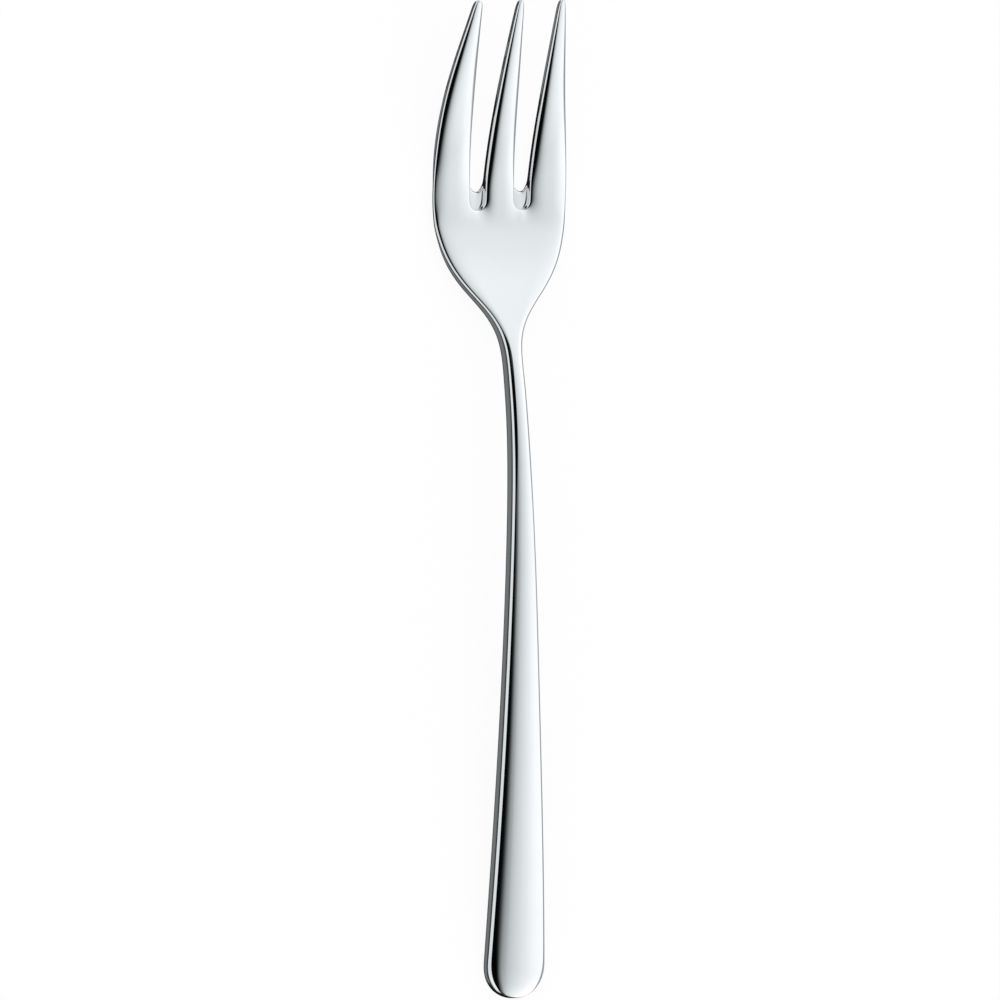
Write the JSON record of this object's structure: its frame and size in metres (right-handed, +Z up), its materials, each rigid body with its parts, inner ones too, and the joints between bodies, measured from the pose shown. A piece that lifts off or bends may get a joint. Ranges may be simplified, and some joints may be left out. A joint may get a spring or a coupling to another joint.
{
  "type": "pastry fork",
  "caption": "Mirror-polished steel pastry fork: slim tapered handle with a round end, dished bowl, tapered tines with stepped slot roots and a broader cutting tine.",
  "frame": {"origin": "on the table under the middle of the fork's length and width, the fork lying on its back", "axes": "+X across the fork to the right, +Y along it towards the tines, +Z up out of the front of the bowl"},
  "size_m": [0.023, 0.157, 0.0118],
  "materials": {
    "polished_steel": "mirror-polished stainless steel, uncoated"
  },
  "bodies": {
    "root": {"fork": "polished_steel"}
  },
  "joints": []
}
